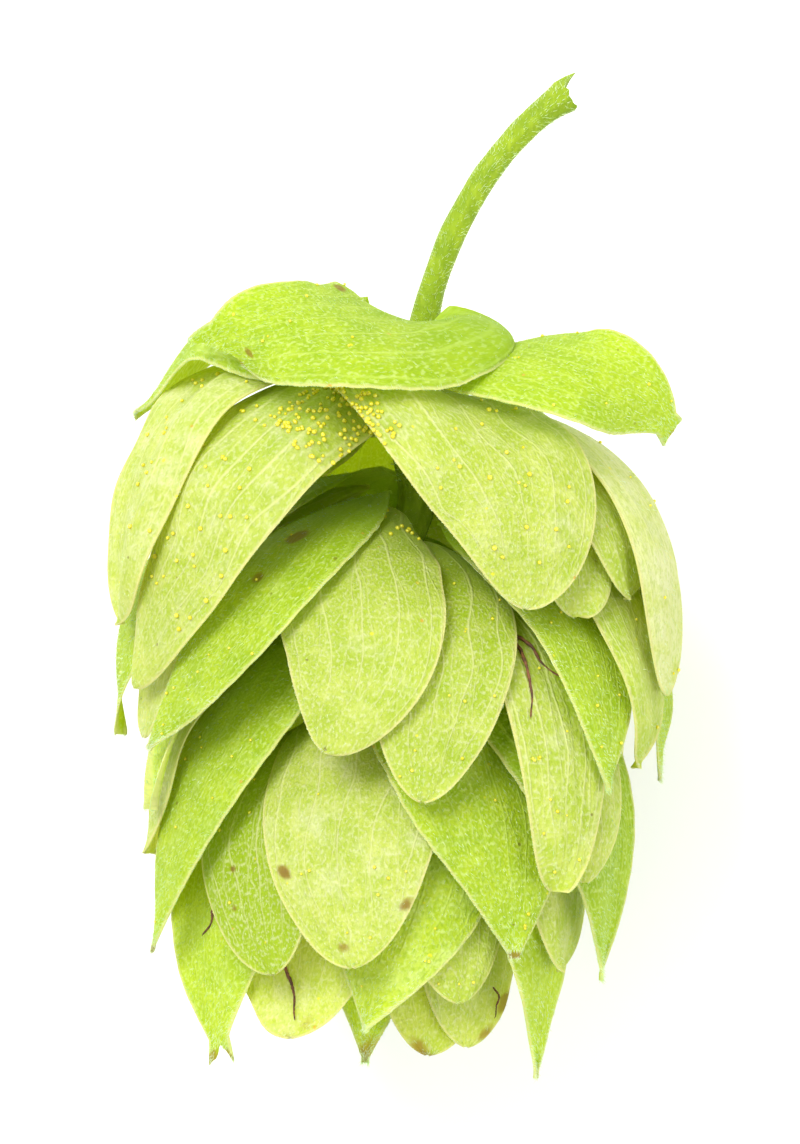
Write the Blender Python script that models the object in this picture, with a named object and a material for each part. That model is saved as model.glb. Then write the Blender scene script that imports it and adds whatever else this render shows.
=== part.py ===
"""A hop cone with its cut stalk, lying on its back.

The cone is built as it grew.  One stem runs from the torn end of the stalk down through the middle
of the cone, where it is called the strig.  Papery leaves leave the strig one after another: pointed
bracts and rounded bracteoles.  Each leaf swings out from the strig and hangs down over the leaves
that start further along, so the leaf that starts first lies outermost.

Sizes are in millimetres and angles in degrees, until a mesh is made in metres.  In the cone's own
frame a place is given by how far it is along the strig from the shoulder, how far it is out from
the strig, and how far round: 0 is the top of the lying cone, 90 its right side, 180 underneath.
"""

import math

import bpy
import numpy as np

MM = 0.001

# Stem
STALK_RADIUS = 0.5
STALK_END_RADIUS = 0.68
STRIG_RADIUS = 0.85
STRIG_END_RADIUS = 0.45
STRIG_LENGTH = 23.0
STRIG_ZIGZAG = 0.25
STRIG_NODE_SPACING = 2.8
STEM_SIDES = 8
STALK_STEPS = 12
STALK_TORN_SHARE = 6
STALK_FLARE = 0.9
STALK_FLARE_FROM = 0.75
STALK_BEND = ((5.2, 10.8, -0.6), (2.8, 9.0, 0.2), (1.3, 6.4, 0.6), (0.0, 3.2, 0.3), (0.0, 0.0, 0.0))

# Leaves
LEAF_THICKNESS = 0.2
LEAF_FOOT_RADIUS = 1.75
LEAF_FOOT_HALF_WIDTH = 0.45
LEAF_TIP_HALF_WIDTH = 0.12
LEAF_ROWS = 8
LEAF_COLUMNS = 5
LEAF_GAP = 0.4
LEAF_TIP_CROWDING = 1.3
LEAF_SHOULDER = 2.6
LEAF_RUN = 1.4
LEAF_FOOT_FADE = 3
LEAF_TURN_BY = 1 / 3
BLADE_CURL_SHARE = 0.85
BLADE_CURL_SMALLEST = 3.0
RIB_SAMPLES = 81

# Outline of a leaf, as powers: where it is widest, how full it is, and how a bract narrows to its tip
BRACT_WIDEST = 0.8
BRACT_FULLNESS = 0.8
BRACT_NARROWING = 0.35
BRACT_NARROWING_POWER = 6
BRACTEOLE_WIDEST = 1.02
BRACTEOLE_FULLNESS = 0.52

# Laying the leaves
FINE_ROWS = 29
FINE_COLUMNS = 17
LAY_REACH = 0.3
LAY_DEPTH = 1.2
LAY_ROUNDS = 5
LAY_SMALLEST = 0.0001
LAY_SHARE = 0.05
LAY_SOFTENINGS = 2

# How the cone lies
CONE_TILT = -3.5
PRESSED_FLAT = 0.12

# Leaves that show from above, by name: kind, how far along the strig the foot and the tip are, how
# far round the foot, the middle and the tip are, how far out the tip is, and the half width.
UPPER_LEAVES = {
    "cap_bract_left": ("bract", (-0.3, 0.8), (5, -30, -55), 10.4, 3.2),
    "cap_bract_right": ("bract", (0.1, 2.6), (26, 40, 69), 10.9, 3.0),
    "wing_bract_left": ("bract", (1.05, 3.2), (-90, -93, -93), 11.2, 2.4),
    "edge_bracteole_left": ("bracteole", (1.2, 11.4), (-81, -68, -71), 11.7, 2.6),
    "shoulder_bracteole_right": ("bracteole", (2.3, 9.8), (-10, 19, 26), 10.5, 3.7),
    "long_bracteole_left": ("bracteole", (2.6, 13.8), (-32, -40, -64), 11.6, 2.4),
    "edge_bracteole_right": ("bracteole", (2.9, 12.9), (63, 64, 63), 10.5, 2.1),
    "inner_bracteole_left": ("bracteole", (3.3, 10.6), (-60, -56, -62), 10.2, 3.5),
    "inner_bracteole_right": ("bracteole", (3.4, 9.2), (42, 52, 54), 9.7, 2.8),
    "small_bracteole_right": ("bracteole", (3.7, 10.0), (28, 38, 41), 10.0, 2.7),
    "wing_bracteole_right": ("bracteole", (4.0, 12.0), (80, 80, 80), 10.0, 3.0),
    "strip_bracteole_right": ("bracteole", (4.4, 15.8), (62, 60, 58), 10.3, 2.5),
    "point_bract_right": ("bract", (4.8, 16.3), (76, 74, 74), 10.9, 3.2),
    "point_bract_left": ("bract", (4.9, 15.8), (-82, -80, -80), 11.0, 3.0),
    "broad_bract_left": ("bract", (5.8, 16.2), (-42, -37, -59), 11.3, 2.8),
    "centre_bracteole_left": ("bracteole", (6.2, 15.8), (-33, -11, -15), 10.7, 3.4),
    "broad_bract_right": ("bract", (6.7, 16.7), (52, 46, 44), 11.0, 2.8),
    "folded_bracteole_left": ("bracteole", (7.1, 15.8), (-75, -67, -67), 10.8, 2.6),
    "centre_bracteole_right": ("bracteole", (7.5, 17.5), (13, 9, 6), 10.6, 2.9),
    "rolled_bract_left": ("bract", (8.6, 18.6), (-60, -60, -61), 10.2, 1.7),
    "pale_bracteole_left": ("bracteole", (9.2, 20.4), (-80, -75, -70), 9.7, 2.8),
    "middle_bract_left": ("bract", (9.8, 24.2), (-45, -51, -63), 10.2, 2.9),
    "middle_bracteole_right": ("bracteole", (10.3, 20.7), (36, 36, 35), 10.3, 1.9),
    "second_bracteole_right": ("bracteole", (10.8, 20.3), (44, 43, 42), 10.2, 2.4),
    "dark_bract_right": ("bract", (11.3, 24.2), (50, 54, 58), 10.0, 2.8),
    "middle_bract_right": ("bract", (11.9, 23.4), (18, 24, 30), 9.7, 3.9),
    "far_bracteole_left": ("bracteole", (12.4, 22.9), (-82, -78, -76), 9.2, 2.8),
    "great_bracteole": ("bracteole", (13.0, 24.1), (-15, -12, -7), 9.9, 3.7),
    "narrow_bracteole_right": ("bracteole", (13.6, 23.9), (50, 48, 46), 9.0, 2.6),
    "lower_bracteole_left": ("bracteole", (14.1, 24.6), (-45, -39, -27), 9.3, 3.2),
    "long_bract_right": ("bract", (14.7, 28.2), (38, 44, 48), 8.4, 2.1),
    "last_bract": ("bract", (15.2, 26.6), (7, 4, -4), 7.7, 3.5),
    "tucked_bracteole_right": ("bracteole", (15.6, 25.3), (14, 17, 21), 8.6, 2.8),
    "forked_bract_left": ("bract", (15.9, 28.4), (-68, -62, -50), 7.9, 3.2),
    "brown_bracteole_right": ("bracteole", (17.6, 27.1), (28, 30, 29), 7.1, 2.6),
    "curled_bracteole_left": ("bracteole", (18.3, 27.1), (-28, -28, -25), 7.5, 3.5),
    "last_bracteole_right": ("bracteole", (19.1, 27.5), (20, 20, 17), 6.6, 2.8),
    "tip_bract": ("bract", (20.4, 28.0), (-5, -5, -5), 5.5, 1.8),
}

# How square a leaf's shoulder is, where it isn't as square as the others'.
SHOULDER = {"edge_bracteole_left": 2.1, "edge_bracteole_right": 2.1, "wing_bract_left": 1.6}

# How far a leaf is turned about its own length, and how far its middle is raised towards the stalk.
TURNED = {
    "cap_bract_left": 36,
    "cap_bract_right": -30,
    "wing_bract_left": 38,
    "forked_bract_left": 28,
    "long_bract_right": -22,
    "point_bract_left": 20,
    "dark_bract_right": -30,
    "edge_bracteole_left": 22,
}
RAISED = {
    "cap_bract_left": 1,
    "cap_bract_right": 0.9,
    "edge_bracteole_left": 2.5,
    "edge_bracteole_right": 1.1,
    "shoulder_bracteole_right": 1.5,
    "inner_bracteole_left": 3,
    "inner_bracteole_right": 0.8,
    "small_bracteole_right": 0.8,
    "wing_bract_left": -0.4,
    "long_bracteole_left": 0.4,
}

# Leaves underneath stand in staggered rows.
UNDER_ROWS = 6
UNDER_FIRST = 1.1
UNDER_SPACING = 3.3
UNDER_LENGTH = 10.8
UNDER_SHORTENING = 0.5
UNDER_STEP = 55.0
UNDER_HALF_WIDTH = 3.9
UNDER_TIP_OUT = 10.3
UNDER_TIP_TAPER = 0.018
UNDER_TAPER_FROM = 12.0
UNDER_STAGGER = 0.5
UNDER_LATER_TO_ONE_SIDE = 0.12


def under_leaves():
    """Rows of three or four leaves from one side of the cone to the other, each row half a step
    round from the row before, and closer to the strig towards the cone's end."""
    leaves = {}
    for row in range(UNDER_ROWS):
        foot = UNDER_FIRST + row * UNDER_SPACING
        tip = foot + UNDER_LENGTH - UNDER_SHORTENING * row
        out = UNDER_TIP_OUT - UNDER_TIP_TAPER * max(tip - UNDER_TAPER_FROM, 0.0) ** 2
        count = 4 if row in (1, 3, 5) else 3
        for place in range(count):
            aside = place - (count - 1) / 2
            around = 180.0 + UNDER_STEP * aside
            kind = "bract" if (row + place) % 2 else "bracteole"
            start = foot + UNDER_STAGGER * abs(aside) + UNDER_LATER_TO_ONE_SIDE * aside
            turns = (around, around, around)
            leaf = (kind, (start, tip), turns, out, UNDER_HALF_WIDTH)
            leaves[f"under_{kind}_{row + 1}_{place + 1}"] = leaf
    return leaves


def half_width(kind, share):
    """Half width of a leaf as a share of its widest, from foot to tip: a sine arch that is widest
    before the middle, drawn out to a point on a bract and blunt on a bracteole."""
    if kind == "bract":
        arch = np.sin(np.pi * share**BRACT_WIDEST) ** BRACT_FULLNESS
        return arch * (1 - BRACT_NARROWING * share**BRACT_NARROWING_POWER)
    return np.sin(np.pi * share**BRACTEOLE_WIDEST) ** BRACTEOLE_FULLNESS


def leaf_surface(name, leaf, rows, columns):
    """Middle surface of a leaf and its outward normals, at shares of its length and half widths.

    The midrib leaves the strig square to it and bends over: with t from 0 to 1, its distance from
    the strig grows like 1 - (1 - t)^shoulder while its distance along grows like t^run.  The blade
    curves round the strig."""
    kind, (foot, tip), around, out, widest = leaf
    t = np.linspace(0.0, 1.0, RIB_SAMPLES)
    share = (2 * (t - 0.5) * (t - 1), 4 * t * (1 - t), 2 * t * (t - 0.5))
    turn = np.radians(around[0] * share[0] + around[1] * share[1] + around[2] * share[2])
    reach = 1 - (1 - t) ** SHOULDER.get(name, LEAF_SHOULDER)
    radius = LEAF_FOOT_RADIUS + (out - LEAF_FOOT_RADIUS) * reach
    along = foot + (tip - foot) * t**LEAF_RUN - RAISED.get(name, 0.0) * share[1]
    rib = np.stack((radius * np.sin(turn), -along, radius * np.cos(turn)), axis=1)
    length = np.concatenate(([0.0], np.cumsum(np.linalg.norm(np.diff(rib, axis=0), axis=1))))
    at = np.interp(rows * length[-1], length, t)

    def on_rib(values):
        return np.stack([np.interp(at, t, values[:, k]) for k in range(3)], axis=1)

    middle = on_rib(rib)
    forward = on_rib(np.gradient(rib, axis=0))
    forward /= np.linalg.norm(forward, axis=1, keepdims=True)
    angle = np.interp(at, t, turn)
    round_way = np.stack((np.cos(angle), np.zeros_like(angle), -np.sin(angle)), axis=1)
    outward = np.cross(forward, round_way)
    outward /= np.linalg.norm(outward, axis=1, keepdims=True)
    side = np.cross(outward, forward)
    lean = math.radians(TURNED.get(name, 0.0)) * np.clip(rows / LEAF_TURN_BY, 0, 1)[:, None]
    level = side
    side = level * np.cos(lean) - outward * np.sin(lean)
    outward = outward * np.cos(lean) + level * np.sin(lean)

    width = widest * half_width(kind, np.clip(rows, 0, 1))
    end_width = LEAF_FOOT_HALF_WIDTH * (1 - rows) ** LEAF_FOOT_FADE + LEAF_TIP_HALF_WIDTH * rows
    width = np.maximum(width, end_width)
    bend = np.maximum(np.interp(at, t, radius) * BLADE_CURL_SHARE, BLADE_CURL_SMALLEST)
    arc = (columns[None, :] * width[:, None] / bend[:, None])[..., None]
    across = side[:, None] * np.sin(arc) + outward[:, None] * (np.cos(arc) - 1)
    points = middle[:, None] + across * bend[:, None, None]
    normals = outward[:, None] * np.cos(arc) + side[:, None] * np.sin(arc)
    return points, normals


def spread(count, fine):
    """Weights that carry values at evenly numbered rows over to a finer row, in straight lines."""
    place = np.linspace(0, count - 1, fine)
    return np.clip(1 - np.abs(place[:, None] - np.arange(count)[None, :]), 0, 1)


def surface_normals(points):
    """Normals of a grid of points, from the differences along and across it."""
    normals = np.cross(np.gradient(points, axis=0), np.gradient(points, axis=1))
    return normals / np.maximum(np.linalg.norm(normals, axis=2, keepdims=True), 1e-9)


def soften(lift):
    """Average each value with its neighbours along and across the leaf."""
    wide = np.pad(lift, 1, mode="edge")
    return (wide[:-2, 1:-1] + wide[2:, 1:-1] + wide[1:-1, :-2] + wide[1:-1, 2:] + 2 * lift) / 6


def lay_leaves(leaves):
    """Lay the leaves from the innermost outwards, and return the grid of each one's middle surface.

    A leaf is lifted along its own normals until, over every laid leaf within reach, it clears that
    leaf by the gap.  Lifts are softened along and across the leaf so that it stays smooth."""
    rows = 1 - (1 - np.linspace(0, 1, LEAF_ROWS)) ** LEAF_TIP_CROWDING
    columns = np.linspace(-1, 1, LEAF_COLUMNS)
    down = spread(LEAF_ROWS, FINE_ROWS)
    over = spread(LEAF_COLUMNS, FINE_COLUMNS)
    laid = []
    grids = {}
    for name in sorted(leaves, key=lambda n: -leaves[n][1][0]):
        points, normals = leaf_surface(name, leaves[name], rows, columns)
        for _ in range(LAY_ROUNDS):
            fine = np.einsum("ra,abk,cb->rck", down, points, over).reshape(-1, 3)
            facing = np.einsum("ra,abk,cb->rck", down, normals, over).reshape(-1, 3)
            facing /= np.linalg.norm(facing, axis=1, keepdims=True)
            low = fine.min(axis=0) - LAY_DEPTH
            high = fine.max(axis=0) + LAY_DEPTH
            need = np.zeros(len(fine))
            for other in laid:
                near = other[np.all((other > low) & (other < high), axis=1)]
                if not len(near):
                    continue
                apart = near[None] - fine[:, None]
                ahead = np.einsum("pqk,pk->pq", apart, facing)
                aside = np.einsum("pqk,pqk->pq", apart, apart) - ahead**2
                below = (aside < LAY_REACH**2) & (ahead > -LEAF_GAP) & (ahead < LAY_DEPTH)
                need = np.maximum(need, np.where(below, ahead + LEAF_GAP, 0).max(axis=1))
            if need.max() < LAY_SMALLEST:
                break
            need = need.reshape(FINE_ROWS, FINE_COLUMNS)
            touched = (down > LAY_SHARE)[:, None, :, None] & (over > LAY_SHARE)[None, :, None, :]
            lift = np.where(touched, need[:, :, None, None], 0).max(axis=(0, 1))
            for _ in range(LAY_SOFTENINGS):
                lift = np.maximum(lift, soften(lift))
            points = points + lift[..., None] * normals
        grids[name] = points
        laid.append(np.einsum("ra,abk,cb->rck", down, points, over).reshape(-1, 3))
    return grids


def leaf_plate(points):
    """Vertices and faces of the thin closed plate whose middle surface is the grid of points."""
    rows, columns = points.shape[:2]
    normals = surface_normals(points) * (LEAF_THICKNESS / 2)
    outer = (points + normals).reshape(-1, 3)
    inner = (points - normals).reshape(-1, 3)
    corner = np.arange(rows * columns).reshape(rows, columns)
    a, b, c, d = corner[:-1, :-1], corner[:-1, 1:], corner[1:, 1:], corner[1:, :-1]
    top = np.concatenate([np.stack(f, -1).reshape(-1, 3) for f in ((a, c, b), (a, d, c))])
    under = top[:, ::-1] + rows * columns
    rim = np.concatenate((corner[0, :-1], corner[:-1, -1], corner[-1, :0:-1], corner[:0:-1, 0]))
    ahead = np.roll(rim, -1)
    wall = np.stack((rim, ahead, ahead + rows * columns, rim + rows * columns), axis=-1)
    wall = np.concatenate((wall[:, [0, 1, 2]], wall[:, [0, 2, 3]]))
    return np.concatenate((outer, inner)), np.concatenate((top, under, wall))


def stem_path():
    """Points down the middle of the stem and its radius there: the stalk's bend, then the strig,
    which swings from side to side at each joint."""
    bend = np.array(STALK_BEND)
    part = np.arange(STALK_STEPS)[:, None] / STALK_STEPS
    share = [math.comb(4, k) * part**k * (1 - part) ** (4 - k) for k in range(5)]
    stalk = sum(w * p for w, p in zip(share, bend))
    torn = np.clip(1 - part[:, 0] * STALK_TORN_SHARE, 0, 1) ** 2
    flare = np.clip((part[:, 0] - STALK_FLARE_FROM) / (1 - STALK_FLARE_FROM), 0, 1) ** 2
    stalk_radius = STALK_RADIUS + (STALK_END_RADIUS - STALK_RADIUS) * torn
    stalk_radius += (STRIG_RADIUS - STALK_RADIUS) * STALK_FLARE * flare
    along = np.arange(0, STRIG_LENGTH + 0.1, STRIG_NODE_SPACING / 2)
    sway = STRIG_ZIGZAG * np.abs((along / STRIG_NODE_SPACING) % 2 - 1) * 2 - STRIG_ZIGZAG
    sway *= np.clip(along / STRIG_NODE_SPACING, 0, 1)
    strig = np.stack((sway, -along, np.zeros_like(along)), axis=1)
    strig_radius = STRIG_RADIUS + (STRIG_END_RADIUS - STRIG_RADIUS) * along / STRIG_LENGTH
    return np.concatenate((stalk, strig)), np.concatenate((stalk_radius, strig_radius))


def tube(path, radius, sides):
    """Vertices and faces of a closed round tube along a path that stays near one plane."""
    forward = np.gradient(path, axis=0)
    forward /= np.linalg.norm(forward, axis=1, keepdims=True)
    side = np.cross(forward, np.array([0.0, 0.0, 1.0]))
    side /= np.linalg.norm(side, axis=1, keepdims=True)
    rise = np.cross(side, forward)
    angle = np.linspace(0, 2 * np.pi, sides, endpoint=False)
    ring = side[:, None] * np.cos(angle)[None, :, None] + rise[:, None] * np.sin(angle)[None, :, None]
    points = (path[:, None] + ring * radius[:, None, None]).reshape(-1, 3)
    here = np.arange(len(path) * sides).reshape(len(path), sides)
    beside = np.roll(here, -1, axis=1)
    quads = np.stack((here[:-1], here[1:], beside[1:], beside[:-1]), axis=-1).reshape(-1, 4)
    return points, quads.tolist() + [here[0].tolist(), here[-1, ::-1].tolist()]


def material(name, colour, roughness):
    """A plain surface of one colour."""
    made = bpy.data.materials.new(name)
    made.use_nodes = True
    shader = made.node_tree.nodes["Principled BSDF"]
    shader.inputs["Base Color"].default_value = (*colour, 1.0)
    shader.inputs["Roughness"].default_value = roughness
    shader.inputs["Metallic"].default_value = 0.0
    return made


def add_piece(name, points, faces, parent, look):
    """One named object on the cone's empty, its points given in millimetres."""
    mesh = bpy.data.meshes.new(name)
    mesh.from_pydata((points * MM).tolist(), [], faces if isinstance(faces, list) else faces.tolist())
    mesh.validate()
    mesh.shade_smooth()
    mesh.set_sharp_from_angle(angle=math.radians(50))
    mesh.materials.append(look)
    piece = bpy.data.objects.new(name, mesh)
    piece.parent = parent
    bpy.context.scene.collection.objects.link(piece)
    return piece


def main():
    for old in list(bpy.data.objects):
        bpy.data.objects.remove(old, do_unlink=True)
    looks = {
        "bract": material("bract_green", (0.30, 0.52, 0.05), 0.6),
        "bracteole": material("bracteole_pale_green", (0.58, 0.72, 0.17), 0.6),
        "stem": material("stem_green", (0.34, 0.55, 0.08), 0.65),
    }
    leaves = {**UPPER_LEAVES, **under_leaves()}
    grids = lay_leaves(leaves)
    tilt = math.radians(CONE_TILT)
    right = (math.cos(tilt), -math.sin(tilt), 0)
    ahead = (math.sin(tilt), math.cos(tilt), 0)
    spin = np.array((right, ahead, (0, 0, 1)))
    floor = min(g[..., 2].min() for g in grids.values()) + PRESSED_FLAT
    for grid in grids.values():
        grid[..., 2] = np.maximum(grid[..., 2], floor)
    shapes = {"stem": tube(*stem_path(), STEM_SIDES)}
    shapes.update({name: leaf_plate(grid) for name, grid in grids.items()})
    every = np.concatenate([points for points, _ in shapes.values()]) @ spin.T
    low, high = every.min(axis=0), every.max(axis=0)
    cone = bpy.data.objects.new("cone", None)
    cone.rotation_euler = (0, 0, tilt)
    cone.location = (-(low[0] + high[0]) / 2 * MM, -(low[1] + high[1]) / 2 * MM, -low[2] * MM)
    bpy.context.scene.collection.objects.link(cone)
    for name, (points, faces) in shapes.items():
        look = looks["stem" if name == "stem" else leaves[name][0]]
        add_piece(name, points, faces, cone, look)


main()
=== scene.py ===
import math
import zlib

import bpy
import numpy as np
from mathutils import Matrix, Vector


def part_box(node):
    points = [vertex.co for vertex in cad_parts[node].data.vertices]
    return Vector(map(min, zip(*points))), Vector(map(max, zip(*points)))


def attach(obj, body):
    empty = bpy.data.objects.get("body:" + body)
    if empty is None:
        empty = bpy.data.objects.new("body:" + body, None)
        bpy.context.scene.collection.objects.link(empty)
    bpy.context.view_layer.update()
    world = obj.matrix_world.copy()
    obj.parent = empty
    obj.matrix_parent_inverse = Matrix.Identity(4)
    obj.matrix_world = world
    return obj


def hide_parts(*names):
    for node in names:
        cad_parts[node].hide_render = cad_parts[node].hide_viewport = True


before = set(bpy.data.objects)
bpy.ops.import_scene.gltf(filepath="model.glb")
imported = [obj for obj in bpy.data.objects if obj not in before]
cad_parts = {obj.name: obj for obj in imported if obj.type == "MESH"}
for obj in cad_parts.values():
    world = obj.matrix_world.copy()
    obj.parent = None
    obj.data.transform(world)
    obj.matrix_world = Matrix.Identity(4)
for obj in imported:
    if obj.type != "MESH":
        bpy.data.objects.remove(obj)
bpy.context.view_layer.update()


# ---------------------------------------------------------------------------------------------
# The stem: one green, finely furrowed and hairy shoot.  Above the cone's shoulder it is the bare
# stalk, torn off at its end.  Inside the cone it is the strig, bent a little at each joint, and
# the leaves grow from it.

MM = 0.001
CONE_TILT = math.radians(-3.5)
STALK_RADIUS = 0.5
STALK_END_RADIUS = 0.68
STRIG_RADIUS = 0.85
STRIG_END_RADIUS = 0.45
STRIG_LENGTH = 23.0
STRIG_ZIGZAG = 0.25
STRIG_NODE_SPACING = 2.8
STALK_BEND = ((5.2, 10.8, -0.6), (2.8, 9.0, 0.2), (1.3, 6.4, 0.6), (0.0, 3.2, 0.3), (0.0, 0.0, 0.0))


def stem_line(stalk_steps, strig_step):
    """Points down the middle of the stem and its radius there.  The stalk is a curve of degree four
    on its five control points; the strig runs straight on and swings aside like a cosine."""
    part = np.arange(stalk_steps)[:, None] / stalk_steps
    share = [math.comb(4, k) * part**k * (1 - part) ** (4 - k) for k in range(5)]
    stalk = sum(w * p for w, p in zip(share, np.array(STALK_BEND)))
    torn = np.clip(1 - part[:, 0] * 6, 0, 1) ** 2
    flare = np.clip((part[:, 0] - 0.75) / 0.25, 0, 1) ** 2
    stalk_radius = STALK_RADIUS + (STALK_END_RADIUS - STALK_RADIUS) * torn
    stalk_radius += (STRIG_RADIUS - STALK_RADIUS) * 0.9 * flare
    along = np.arange(0, STRIG_LENGTH + 0.1, strig_step)
    joint = along / STRIG_NODE_SPACING
    sway = STRIG_ZIGZAG * np.cos(np.pi * joint) * np.clip(joint, 0, 1)
    strig = np.stack((sway, -along, np.zeros_like(along)), axis=1)
    strig_radius = STRIG_RADIUS + (STRIG_END_RADIUS - STRIG_RADIUS) * along / STRIG_LENGTH
    return np.concatenate((stalk, strig)), np.concatenate((stalk_radius, strig_radius))


def rings_along(path, sides, across=None):
    """Unit arrows from each point of a path to the points of a ring round it, and the way on."""
    onward = np.gradient(path, axis=0)
    onward /= np.linalg.norm(onward, axis=1, keepdims=True)
    up = np.array([0.0, 0.0, 1.0]) if across is None else across
    side = np.cross(onward, up)
    side /= np.linalg.norm(side, axis=1, keepdims=True)
    rise = np.cross(side, onward)
    angle = np.linspace(0, 2 * np.pi, sides, endpoint=False)
    ring = side[:, None] * np.cos(angle)[None, :, None] + rise[:, None] * np.sin(angle)[None, :, None]
    return ring, onward, angle


def turned(points):
    """Points of the cone's own frame, turned by its tilt about the upright axis."""
    right = (math.cos(CONE_TILT), -math.sin(CONE_TILT), 0)
    ahead = (math.sin(CONE_TILT), math.cos(CONE_TILT), 0)
    return points @ np.array((right, ahead, (0, 0, 1))).T


plain_line, plain_radius = stem_line(12, STRIG_NODE_SPACING / 2)
plain_ring = rings_along(plain_line, 8)[0]
plain_stem = turned((plain_line[:, None] + plain_ring * plain_radius[:, None, None]).reshape(-1, 3))
cone_shift = np.array(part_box("stem")[0]) / MM - plain_stem.min(axis=0)


def settle(points):
    """From the cone's own frame, in millimetres, to the row frame, in metres.  Nothing reaches
    below the surface that the cone lies on."""
    placed = turned(points) + cone_shift
    placed[:, 2] = np.maximum(placed[:, 2], 0.0)
    return placed * MM


def add_piece(name, points, faces, finish, nodes=(), uv=None, marks=None):
    """One mesh object from points in the cone's frame and arrays of faces, all with one finish.
    marks are numbers kept at the points, for the finish to read."""
    mesh = bpy.data.meshes.new(name)
    corners = np.concatenate([f.ravel() for f in faces]).astype(np.int32)
    sizes = np.concatenate([np.full(len(f), f.shape[1]) for f in faces])
    starts = np.concatenate(([0], np.cumsum(sizes)[:-1])).astype(np.int32)
    mesh.vertices.add(len(points))
    mesh.vertices.foreach_set("co", settle(points).astype(np.float32).ravel())
    mesh.loops.add(len(corners))
    mesh.loops.foreach_set("vertex_index", corners)
    mesh.polygons.add(len(sizes))
    mesh.polygons.foreach_set("loop_start", starts)
    mesh.update(calc_edges=True)
    mesh.validate()
    if uv is not None:
        layer = mesh.uv_layers.new(name="leaf")
        layer.data.foreach_set("uv", uv[corners].astype(np.float32).ravel())
    for mark, values in (marks or {}).items():
        kept = mesh.attributes.new(mark, "FLOAT", "POINT")
        kept.data.foreach_set("value", np.broadcast_to(values, len(points)).astype(np.float32))
    mesh.shade_smooth()
    mesh.set_sharp_from_angle(angle=math.radians(60))
    mesh.materials.append(finish)
    made = bpy.data.objects.new(name, mesh)
    bpy.context.scene.collection.objects.link(made)
    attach(made, "root")
    for node in nodes:
        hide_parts(node)
    return made


class Wire:
    """One socket of a finish.  Sums on it add Math nodes, and add() adds any other node."""

    def __init__(self, tree, socket=None):
        self.tree, self.socket = tree, socket

    def add(self, kind, settings=None, inputs=None, out=0):
        """A node of that type with its settings and its sockets' values or links; gives an output."""
        made = self.tree.nodes.new(kind)
        for key, value in (settings or {}).items():
            setattr(made, key, value)
        for key, value in (inputs or {}).items():
            if isinstance(value, Wire):
                self.tree.links.new(value.socket, made.inputs[key])
            else:
                made.inputs[key].default_value = value
        return Wire(self.tree, made.outputs[out])

    def sum(self, operation, *others):
        given = dict(enumerate((self, *others)))
        return self.add("ShaderNodeMath", {"operation": operation}, given)

    def __add__(self, other):
        return self.sum("ADD", other)

    def __mul__(self, other):
        return self.sum("MULTIPLY", other)

    def __sub__(self, other):
        return self.sum("SUBTRACT", other)

    def __rsub__(self, other):
        return self.add("ShaderNodeMath", {"operation": "SUBTRACT"}, {0: other, 1: self})

    def __truediv__(self, other):
        return self.sum("DIVIDE", other)

    __radd__, __rmul__ = __add__, __mul__

    def step(self, low, high):
        """0 below low, 1 above high and smooth between; the other way round if high is lower."""
        reach = {"interpolation_type": "SMOOTHSTEP", "clamp": True}
        if high > low:
            return self.add("ShaderNodeMapRange", reach, {0: self, 1: low, 2: high, 3: 0.0, 4: 1.0})
        return self.add("ShaderNodeMapRange", reach, {0: self, 1: high, 2: low, 3: 1.0, 4: 0.0})

    def blend(self, one, other):
        """Colour one where this is 0 and the other where it is 1."""
        one = (*one, 1.0) if isinstance(one, tuple) else one
        other = (*other, 1.0) if isinstance(other, tuple) else other
        return self.add("ShaderNodeMix", {"data_type": "RGBA"}, {0: self, 6: one, 7: other}, 2)

    def noise(self, scale, detail=2.0, rough=0.5):
        """Cloudy noise on this vector, about 0 to 1."""
        return self.add("ShaderNodeTexNoise", None,
                        {"Vector": self, "Scale": scale, "Detail": detail, "Roughness": rough})


def new_finish(name, through=0.0, through_colour=(1, 1, 1), **constants):
    """An empty finish: its own shader with what is the same all over set on its sockets, mixed
    with light that comes through a thin leaf.  Gives the material, a wire and the shader."""
    made = bpy.data.materials.new(name)
    made.use_nodes = True
    tree = made.node_tree
    tree.nodes.clear()
    shader = tree.nodes.new("ShaderNodeBsdfPrincipled")
    for key, value in constants.items():
        shader.inputs[key.replace("_", " ")].default_value = value
    last = tree.nodes.new("ShaderNodeOutputMaterial")
    if through:
        glow = tree.nodes.new("ShaderNodeBsdfTranslucent")
        glow.inputs["Color"].default_value = (*through_colour, 1.0)
        both = tree.nodes.new("ShaderNodeMixShader")
        both.inputs[0].default_value = through
        tree.links.new(shader.outputs[0], both.inputs[1])
        tree.links.new(glow.outputs[0], both.inputs[2])
        tree.links.new(both.outputs[0], last.inputs["Surface"])
    else:
        tree.links.new(shader.outputs[0], last.inputs["Surface"])
    return made, Wire(tree), shader


def coat(shader, tree, colour=None, roughness=None, relief=None, height=0.05):
    """Joins the colour, roughness and relief of a finish to its shader."""
    if colour is not None:
        tree.links.new(colour.socket, shader.inputs["Base Color"])
    if roughness is not None:
        tree.links.new(roughness.socket, shader.inputs["Roughness"])
    if relief is not None:
        bump = tree.nodes.new("ShaderNodeBump")
        bump.inputs["Strength"].default_value = 1.0
        bump.inputs["Distance"].default_value = height * MM
        tree.links.new(relief.socket, bump.inputs["Height"])
        tree.links.new(bump.outputs[0], shader.inputs["Normal"])


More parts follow.
